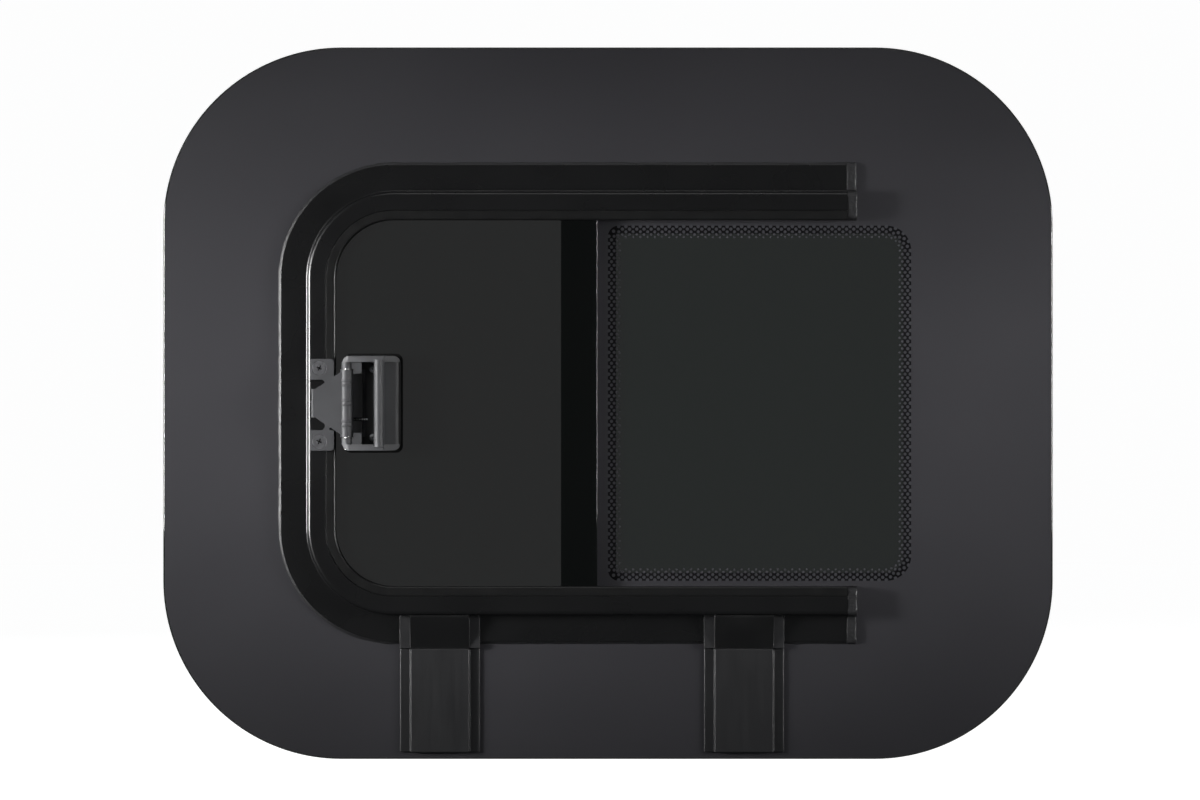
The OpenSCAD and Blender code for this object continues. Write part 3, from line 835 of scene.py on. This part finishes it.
class WINDOW_OT_glass(bpy.types.Operator):
    """Main glass with its ground edge, printed border and dots"""

    bl_idname = "window.glass"
    bl_label = "Main glass"

    def execute(self, context):
        look = context.scene.window_glass
        glass = finish("privacy_glass", dark_glass, tuple(look.tint), look.opacity)
        printed = finish("fired_print", fired_print, tuple(look.frit))
        low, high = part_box("main_glass")
        corner = look.corner
        outline = rounded_box(low[0], high[0], low[2], high[2], corner, corner, 40)
        self.add_glass(look, glass, outline, high[1] - low[1])
        half = look.window_half
        window = rounded_box(0.0, look.window_right, -half, half, look.left_radius, look.right_radius)
        trim = look.edge_bevel
        left, right, bottom, top = low[0] + trim, high[0] - trim, low[2] + trim, high[2] - trim
        border = rounded_box(left, right, bottom, top, corner - trim, corner - trim, 40)
        # fronts of the print and of the sheet of painted shade under the dots, and the back of both inside
        # the glass
        front, shade_sheet_front, back = -0.03 * MM, -0.005 * MM, 0.02 * MM
        holes = [window, vent_outline(0.1 * MM)]
        mesh = sheet_with_holes("printed_border", border, holes, front, back)
        add_piece("printed_border", mesh, printed, FIXED)
        band = look.row_pitch * 3
        left, right = band, look.window_right - band
        inner_radii = (look.left_radius - band, look.right_radius - band)
        inner = rounded_box(left, right, band - half, half - band, *inner_radii)
        # a dark sheet under the band of dots paints shade onto the glass between them
        ground = finish("print_ground", fired_print, toned(look.frit, 0.12), 0.08)
        mesh = sheet_with_holes("dot_ground", window, [inner], shade_sheet_front, back)
        add_piece("dot_ground", mesh, ground, FIXED)
        self.add_dots(look, finish("printed_dots", fired_print, toned(look.frit, 1.5)))
        return {"FINISHED"}

    def add_glass(self, look, glass, outline, thick):
        """The glass with its vent cut out."""
        past = 1 * MM
        sheet = plate(outline, 0.0, thick, look.edge_bevel)
        cutter = plate(vent_outline(), -past, thick + past)
        mesh = cut_away(sheet, [cutter], "main_glass_body", 35.0)
        add_piece("main_glass_body", mesh, glass, FIXED, ["main_glass"])

    def steps(self, count, shifted):
        """Places along a run of dots: on both ends, or half a pitch in from them."""
        return [i + 0.5 for i in range(count)] if shifted else list(range(count + 1))

    def add_dots(self, look, printed):
        """Rows of dots inside the border: straight runs with every other row shifted, and turned corners."""
        right, half = look.window_right, look.window_half
        radii = {-1: look.left_radius, 1: look.right_radius}
        across = round((right - radii[-1] - radii[1]) / look.dot_pitch)
        places = []
        for row in range(look.dot_rows):
            shifted = row % 2 == 1
            inset = look.row_pitch * (row + 0.3)
            size = 1.0 - 0.55 * (row / look.dot_rows) ** 1.4
            for i in self.steps(across, shifted):
                x = radii[-1] + i / across * (right - radii[-1] - radii[1])
                places += [(x, half - inset, size), (x, inset - half, size)]
            for side, r in radii.items():
                edge = right if side > 0 else 0.0
                upward = round(2 * (half - r) / look.dot_pitch)
                for i in self.steps(upward, shifted):
                    places.append((edge - side * inset, (2 * i / upward - 1) * (half - r), size))
                turn = max(1, round(math.pi / 2 * (r - look.row_pitch * 2) / look.dot_pitch))
                for i in self.steps(turn, shifted)[0 if shifted else 1:turn]:
                    a = math.pi / 2 * i / turn
                    reach = max(0.0, r - inset)
                    x = edge - side * (r - reach * math.cos(a))
                    z = half - r + reach * math.sin(a)
                    places += [(x, z, size), (x, -z, size)]
        mesh = point_mesh("dot_places", [(x, -0.005 * MM, z) for x, z, size in places])
        sizes = mesh.attributes.new("dot_size", "FLOAT", "POINT")
        sizes.data.foreach_set("value", [place[2] for place in places])
        values = {"Dot radius": look.dot_size / 2, "Thickness": 0.05 * MM, "Finish": printed}
        mesh = grown(mesh, dots_tree(), values, "printed_dots")
        add_piece("printed_dots", mesh, printed, FIXED)


class WINDOW_OT_pane(bpy.types.Operator):
    """Sliding pane with polished edges, and the glides on its edges"""

    bl_idname = "window.pane"
    bl_label = "Sliding pane"

    def execute(self, context):
        look = context.scene.window_glass
        glass = finish("pane_glass", dark_glass, tuple(look.pane_tint), look.opacity)
        low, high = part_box("sliding_pane")
        left_radius = context.scene.window_track.corner - (low[0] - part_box("track_rail")[0][0])
        outline = rounded_box(low[0], high[0], low[2], high[2], left_radius, look.pane_corner, 20)
        sheet = plate(outline, low[1], high[1], look.pane_bevel, 4)
        mesh = mesh_from(sheet, "sliding_pane_body", 35.0)
        add_piece("sliding_pane_body", mesh, glass, SLIDER, ["sliding_pane"])
        nylon = finish("glide_nylon", moulded_plastic, (0.03, 0.03, 0.033), 0.45)
        for node in ("glides_top", "glides_bottom"):
            add_softened(node, node + "_shoes", look.glide_edge, nylon, SLIDER, 2)
        return {"FINISHED"}


# ---- track and seals ----


def channel_section(track, top):
    """Section (inward, height) of the metal: flange, web and face in one."""
    floor = track.bond + track.wall
    web = track.flange + track.wall
    face = track.flange + track.face
    end = face - 0.5 * MM
    edge, foot, chamfer = 0.45 * MM, 1.3 * MM, 0.3 * MM
    roof = top - track.wall
    shoulder = arc((track.flange + track.shoulder, top - track.shoulder), track.shoulder, 180, 90, 8)
    return [
        (end, track.bond),
        *arc((edge, track.bond + edge), edge, 270, 180, 4),
        *arc((edge, floor - edge), edge, 180, 90, 5),
        *arc((track.flange - foot, floor + foot), foot, -90, 0, 6),
        *shoulder,
        (face - chamfer, top),
        (face, top - chamfer),
        (face, roof),
        (web, roof),
        (web, floor),
        (end, floor),
    ]


class WINDOW_OT_track(bpy.types.Operator):
    """U-shaped track, its end stops and its run channel"""

    bl_idname = "window.track"
    bl_label = "Track"

    def execute(self, context):
        track = context.scene.window_track
        metal = finish("coated_metal", coated_metal, tuple(track.coating))
        low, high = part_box("track_rail")
        stations = track_stations(high[0])
        mesh = swept("track_extrusion", channel_section(track, -low[1]), stations)
        add_piece("track_extrusion", mesh, metal, FIXED, ["track_rail"])
        dress("run_channel", finish("flocked_rubber", rubber, (0.012, 0.012, 0.012)))
        stop = finish("stop_plastic", moulded_plastic, (0.014, 0.014, 0.015))
        for node in ("end_stop_top", "end_stop_bottom"):
            add_softened(node, node + "_block", track.stop_edge, stop, FIXED)
        return {"FINISHED"}


def lip_section(track, top, pane):
    """Section of the rubber at the channel's inner edge, with its lip towards the pane."""
    face = track.flange + track.face
    inner = face + track.lip
    tip = pane + 0.3 * MM
    nose, root = 1.3 * MM, top - 3.2 * MM
    return [
        (face + 0.05 * MM, root),
        (face + 0.05 * MM, top - 0.4 * MM),
        (face + 0.3 * MM, top - 0.4 * MM),
        (face + 0.45 * MM, top - 0.05 * MM),
        (face + 0.6 * MM, top),
        *arc((inner - nose, top - nose), nose, 90, 0, 8),
        (inner, tip + 0.7 * MM),
        (inner - 0.3 * MM, tip + 0.15 * MM),
        (inner - 0.8 * MM, tip),
        (inner - 1.8 * MM, tip + 0.5 * MM),
        (face + 1.8 * MM, root),
    ]


class WINDOW_OT_seals(bpy.types.Operator):
    """Lip seal along the track, the seal round the vent and the closing buffer"""

    bl_idname = "window.seals"
    bl_label = "Seals"

    def execute(self, context):
        track = context.scene.window_track
        skin = finish("sealing_rubber", rubber, tuple(context.scene.window_seal.rubber))
        low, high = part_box("inner_lip_seal")
        pane_top = -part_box("sliding_pane")[0][1]
        section = lip_section(track, -low[1], pane_top)
        stations = track_stations(high[0], 12 * MM)
        mesh = swept("lip_seal", section, stations, 34.0)
        add_piece("lip_seal", mesh, skin, FIXED, ["inner_lip_seal"])
        for node in ("vent_seal", "closing_buffer"):
            dress(node, skin)
        return {"FINISHED"}


class WINDOW_OT_sealant(bpy.types.Operator):
    """Adhesive bead round the track, and the lumpy caps on its cut ends"""

    bl_idname = "window.sealant"
    bl_label = "Sealant"

    def execute(self, context):
        settings = context.scene.window_seal
        goo = finish("cured_sealant", cured_sealant, tuple(settings.sealant))
        end_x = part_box("track_adhesive")[1][0]
        bead, lump = settings.bead, settings.lump

        def shape(place, u, h):
            swell = ripple(place, 160.0, lump, 1.0) + ripple(place, 700.0, lump * 0.5, 4.0)
            outside = max(0.0, 0.002 - u) / 0.004
            return u - max(-bead * 0.4, swell * 2.0) * outside, max(0.0, h + swell * 0.5 * outside * (h > 0))

        section = [
            (24 * MM, 0.0),
            (0.2 * MM, 1.0 * MM),
            (0.1 * MM, 1.3 * MM),
            (-bead * 0.2, 1.2 * MM),
            (-bead * 0.6, 0.8 * MM),
            (-bead * 0.86, 0.4 * MM),
            (-bead * 0.9, 0.0),
        ]
        stations = track_stations(end_x, 1.4 * MM, 80)
        mesh = swept("adhesive_bead", section, stations, 60.0, shape)
        add_piece("adhesive_bead", mesh, goo, FIXED, ["track_adhesive"])
        for node in ("end_plug_top", "end_plug_bottom"):
            self.add_plug(node, goo, lump)
        return {"FINISHED"}

    def add_plug(self, node, goo, lump):
        """A lumpy cap, flat where it sits on the glass and on the track's cut end."""
        low, high = (Vector(corner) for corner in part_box(node))
        name = node + "_cap"
        remesh = {"mode": "VOXEL", "voxel_size": 0.45 * MM, "use_smooth_shade": True}
        worn = {"factor": 0.8, "iterations": 4}
        mesh = settled(meshed(joined_node(node), name), [("REMESH", remesh), ("SMOOTH", worn)], name)
        for vertex in mesh.vertices:
            spot = vertex.co
            swell = noise.noise(spot * 380.0) * 1.6 + noise.noise(spot * 1100.0) * 0.6
            pushed = spot + vertex.normal * (swell * lump - 0.15 * MM)
            for axis in range(3):
                pushed[axis] = min(max(pushed[axis], low[axis]), high[axis])
            if spot.y > -0.3 * MM or spot.x < low.x + 0.2 * MM:
                pushed = spot
            vertex.co = pushed
        add_piece(name, mesh_from(opened(mesh), name, 80.0), goo, FIXED, [node])


class WINDOW_OT_mullion(bpy.types.Operator):
    """Upright strip at the middle, with its pile"""

    bl_idname = "window.mullion"
    bl_label = "Mullion"

    def execute(self, context):
        plastic = finish("strip_plastic", moulded_plastic, (0.013, 0.013, 0.014), 0.35)
        edge = context.scene.window_seal.strip_edge
        add_softened("mullion_carrier", "mullion_strip", edge, plastic, FIXED, 2)
        pile = finish("pile", soft_pile, (0.03, 0.03, 0.032))
        dress("mullion_pile", pile)
        low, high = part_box("mullion_pile")
        inset, depth = 0.5 * MM, 1.1 * MM
        left, right, bottom, top = low[0] + inset, high[0] - inset, low[2] + inset, high[2] - inset
        around = ((left, bottom), (right, bottom), (right, top), (left, top))
        bm = skin([[(x, low[1] + depth, z) for x, z in around]], [0])
        values = {"Density": 2.2e6, "Length": 1.9 * MM, "Thickness": 0.16 * MM, "Seed": 11, "Finish": pile}
        mesh = grown(meshed(bm, "pile_strip"), bristles_tree(), values, "pile_tufts")
        add_piece("pile_tufts", mesh, pile, FIXED)
        return {"FINISHED"}


# ---- latch ----


def cross_screw(diameter, head, long, dome=0.0):
    """A screw along +Y, its head's rim at y = 0, flat or domed, with a cross recess."""
    depth = (head - diameter) / 2
    rim = head / 2
    crown = [(rim * math.sin(a), -dome * math.cos(a)) for a in (0.35, 0.7, 1.05, 1.35)] if dome else []
    profile = [
        *(crown or [(rim - 0.16 * MM, 0.02 * MM)]),
        (rim - 0.04 * MM, 0.14 * MM),
        (diameter / 2, depth),
        (diameter / 2, long),
    ]
    sides = 40
    turns = [2 * math.pi * i / sides for i in range(sides)]
    rings = [[(r * math.cos(a), y, r * math.sin(a)) for a in turns] for r, y in profile]
    recess = []
    for turn in (0, 90):
        bm = bmesh.new()
        bmesh.ops.create_cube(bm, size=1.0)
        for vertex in bm.verts:
            taper = 1.0 if vertex.co.y < 0 else 0.5
            x, y, z = vertex.co
            vertex.co = Vector((x * 0.54 * taper, y * 0.62, z * 0.12 * taper)) * head
        bmesh.ops.rotate(bm, verts=bm.verts, matrix=Matrix.Rotation(math.radians(turn), 3, "Y"))
        recess.append(bm)
    return cut_away(opened(lofted("screw_body", rings)), recess, "screw", 30.0)


def screws_at(node, name, body, diameter, head, dome=0.0):
    """One screw for each of a node's screws, stood at the ends of the node's box."""
    low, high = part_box(node)
    x = (low[0] + high[0]) / 2
    ends = [low[2] + head / 2, high[2] - head / 2]
    screw = placed("screw", cross_screw(diameter, head, high[1] - low[1], dome))
    # Domed heads get a lighter steel: partly polish, partly painted light that lifts them out of the shade
    # they sit in.
    polish_and_painted_light = 3.0 if dome else 1.0
    tone = toned(bpy.context.scene.window_latch.steel, polish_and_painted_light)
    # the cross recesses are painted black as shade below this height
    recess_shade_height = -low[1] - 0.35 * MM
    steel = finish(name, plated_steel, tone, 0.4, recess_shade_height)
    values = {"Screw": screw, "Finish": steel}
    places = point_mesh(name, [(x, low[1], z) for z in ends])
    mesh = grown(places, heads_tree(), values, name)
    bpy.data.objects.remove(screw)
    add_piece(name, mesh_from(opened(mesh), name, 30.0), steel, body, [node])


class WINDOW_OT_keeper(bpy.types.Operator):
    """Keeper on the track, its screws and the plate behind it"""

    bl_idname = "window.keeper"
    bl_label = "Keeper"

    def execute(self, context):
        edge = context.scene.window_latch.edge
        add_softened("keeper", "keeper_block", edge * 0.8, latch_plastic(), FIXED)
        screws_at("keeper_screws", "keeper_screw_pair", FIXED, diameter=4 * MM, head=7.9 * MM)
        dress("keeper_nut_plate", finish("zinc_plate", plated_steel, (0.4, 0.41, 0.42)))
        return {"FINISHED"}


class WINDOW_OT_latch(bpy.types.Operator):
    """Latch housing, base, pad, pin, screws and spring"""

    bl_idname = "window.latch"
    bl_label = "Latch"

    def execute(self, context):
        look = context.scene.window_latch
        edge, plain = look.edge, latch_plastic()
        # the cover is darkened with painted shade deep in its well
        cover = latch_plastic("latch_cover", look.cover_shade_height)
        add_softened("latch_housing", "latch_cover", edge, cover, SLIDER)
        add_softened("latch_base", "latch_plate", edge * 0.6, plain, SLIDER, 2)
        round_head = {"diameter": 2.2 * MM, "head": 4.2 * MM, "dome": 1.3 * MM}
        screws_at("latch_screws", "latch_screw_pair", SLIDER, **round_head)
        dress("latch_pad", finish("pad_foam", foam, (0.002, 0.002, 0.002)))
        dress("latch_pin", finish("pin_steel", plated_steel, (0.5, 0.5, 0.5), 0.22))
        dress("latch_spring", finish("spring_steel", plated_steel, (0.55, 0.55, 0.55), 0.25))
        return {"FINISHED"}


class WINDOW_OT_hook(bpy.types.Operator):
    """Hook, barrel and thumb lever"""

    bl_idname = "window.hook"
    bl_label = "Hook"

    def execute(self, context):
        look = context.scene.window_latch
        # the hook's lever, low in the well, is darkened with painted shade
        plastic = latch_plastic("hook_plastic", look.hook_shade_height)
        add_softened("latch_hook", "hook_lever", look.edge, plastic, HOOK)
        self.add_sleeve(plastic)
        return {"FINISHED"}

    def add_sleeve(self, plastic):
        """Front of the barrel, with a groove and a raised ring at each joint of the moulding."""
        pin_low, pin_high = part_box("latch_pin")
        low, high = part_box("latch_hook")
        centre = ((pin_low[0] + pin_high[0]) / 2, (pin_low[1] + pin_high[1]) / 2)
        joints = [(high[2] - low[2]) * part + low[2] for part in (0.20, 0.51, 0.80)]
        outside, inside = 3.45 * MM, 2.9 * MM
        ring, groove, end_round = 0.3 * MM, 0.5 * MM, 0.4 * MM
        start, stop = -172, -8
        rings = []
        count = 240
        for i in range(count + 1):
            z = low[2] + (high[2] - low[2]) * i / count
            radius = outside
            for joint in joints:
                away = abs(z - joint) / MM
                radius += ring * math.exp(-((away - 1.2) / 0.6) ** 2)
                radius -= groove * math.exp(-(away / 0.4) ** 2)
            end = min(z - low[2], high[2] - z)
            radius -= end_round * max(0.0, 1.0 - end / (0.5 * MM)) ** 2
            skin = [*arc(centre, radius, start, stop, 40), *arc(centre, inside, stop, start, 12)]
            rings.append([(x, y, z) for x, y in skin])
        add_piece("hook_barrel", lofted("hook_barrel", rings), plastic, HOOK)


# ---- drains ----


class WINDOW_OT_drains(bpy.types.Operator):
    """Drain hoods, ducts and their tape"""

    bl_idname = "window.drains"
    bl_label = "Drains"

    def execute(self, context):
        look = context.scene.window_drain
        tone = tuple(look.plastic)
        sheet = finish("formed_sheet", formed_sheet, tone)
        for side in ("left", "right"):
            low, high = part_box(f"drain_hood_{side}")
            cover = finish(f"hood_{side}", hood_sheet, tone, (low[0] + high[0]) / 2, look.raised)
            for kind, material, edge in (("hood", cover, look.hood_edge), ("duct", sheet, look.duct_edge)):
                node = f"drain_{kind}_{side}"
                add_softened(node, node + "_shell", edge, material, FIXED, 4)
        dress("drain_tape", finish("foam_tape", foam, (0.015, 0.015, 0.015)))
        return {"FINISHED"}


# ---- stage ----


class WINDOW_OT_stage(bpy.types.Operator):
    """Floor, backdrop, lights and camera"""

    bl_idname = "window.stage"
    bl_label = "Stage"

    def execute(self, context):
        settings = context.scene.window_stage
        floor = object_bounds()[0][2] - settings.floor_drop
        self.add_backdrop(floor, finish("studio_paper", studio_paper, tuple(settings.backdrop)))
        self.add_lights(context)
        self.add_camera(context, settings)
        context.scene.view_settings.view_transform = "Standard"
        return {"FINISHED"}

    def add_backdrop(self, floor, paper):
        """Round paper floor that turns up all round, far behind the camera."""
        reach, rise, wall, sides = 5.4, 0.9, 3.4, 96
        bends = [math.pi / 2 * i / 20 for i in range(21)]
        profile = [(reach + rise * math.sin(a), floor + rise * (1 - math.cos(a))) for a in bends]
        profile.append((reach + rise, floor + wall))
        turns = [2 * math.pi * i / sides for i in range(sides)]
        bm = skin([[(r * math.cos(a), r * math.sin(a), z) for a in turns] for r, z in profile], [0])
        for face in bm.faces:
            face.smooth = len(face.verts) == 4
        made = placed("studio_paper", meshed(bm, "studio_paper"))
        made.data.materials.append(paper)
        made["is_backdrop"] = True
        made.visible_diffuse = False
        made.visible_glossy = False

    def add_lights(self, context):
        """Softboxes, which only reflections show, and a dim even sky."""
        world = bpy.data.worlds.new("studio")
        world.use_nodes = True
        sky = world.node_tree.nodes["Background"]
        sky.inputs["Color"].default_value = (0.92, 0.96, 1.0, 1.0)
        sky.inputs["Strength"].default_value = 0.075
        context.scene.world = world
        # name, place, what it is aimed at, width, height, spread in degrees, watts
        lamps = [
            ("left_softbox", (-0.95, -0.45, 0.06), (-0.24, 0.0, 0.01), 0.4, 0.3, 30, 1.05),
            ("right_softbox", (1.0, -0.48, 0.06), (0.24, 0.0, 0.02), 0.4, 0.3, 30, 0.6),
            ("top_softbox", (0.0, -0.7, 1.3), (0.0, 0.0, 0.0), 0.62, 0.16, 180, 1.5),
            ("front_softbox", (-1.5, -1.7, 0.7), (0.0, 0.0, 0.0), 0.5, 0.5, 60, 0.35),
            ("back_softbox", (-0.9, 1.6, 1.2), (0.0, 0.0, 0.0), 1.2, 1.0, 180, 16.0),
        ]
        for name, spot, target, width, height, spread, power in lamps:
            data = bpy.data.lights.new(name, "AREA")
            data.shape = "RECTANGLE"
            data.size, data.size_y = width, height
            data.spread = math.radians(spread)
            data.energy = power
            lamp = placed(name, data)
            lamp.location = spot
            lamp.rotation_euler = (Vector(target) - Vector(spot)).to_track_quat("-Z", "Y").to_euler()
            lamp.visible_camera = False

    def add_camera(self, context, settings):
        """Straight on, far enough away that depth hardly shows."""
        data = bpy.data.cameras.new("camera")
        data.lens = data.sensor_width * settings.distance / settings.frame_width
        data.clip_end = 50.0
        camera = placed("camera", data)
        aside, up = -4.5 * MM, 1.8 * MM
        camera.location = (aside, -settings.distance, up)
        camera.rotation_euler = (math.pi / 2, 0, 0)
        context.scene.camera = camera


# ---- add-on ----


OPERATORS = [
    WINDOW_OT_glass,
    WINDOW_OT_pane,
    WINDOW_OT_track,
    WINDOW_OT_seals,
    WINDOW_OT_sealant,
    WINDOW_OT_mullion,
    WINDOW_OT_keeper,
    WINDOW_OT_latch,
    WINDOW_OT_hook,
    WINDOW_OT_drains,
    WINDOW_OT_stage,
]


class WINDOW_PT_panel(bpy.types.Panel):
    """Sidebar panel with the window's sizes and the steps that build it"""

    bl_idname = "WINDOW_PT_panel"
    bl_label = "Half-slider window"
    bl_space_type = "VIEW_3D"
    bl_region_type = "UI"
    bl_category = "Window"

    def draw(self, context):
        for name, group in SETTINGS.items():
            column = self.layout.box().column()
            for key in group.__annotations__:
                column.prop(getattr(context.scene, name), key)
        for operator in OPERATORS:
            self.layout.operator(operator.bl_idname)


def register():
    for made in (*SETTINGS.values(), *OPERATORS, WINDOW_PT_panel):
        bpy.utils.register_class(made)
    for name, group in SETTINGS.items():
        setattr(bpy.types.Scene, name, bpy.props.PointerProperty(type=group))


def unregister():
    for name in SETTINGS:
        delattr(bpy.types.Scene, name)
    for made in reversed((*SETTINGS.values(), *OPERATORS, WINDOW_PT_panel)):
        bpy.utils.unregister_class(made)


def main():
    register()
    for operator in OPERATORS:
        getattr(bpy.ops.window, operator.bl_idname.split(".")[1])()
    bpy.context.view_layer.update()


if __name__ == "__main__":
    main()
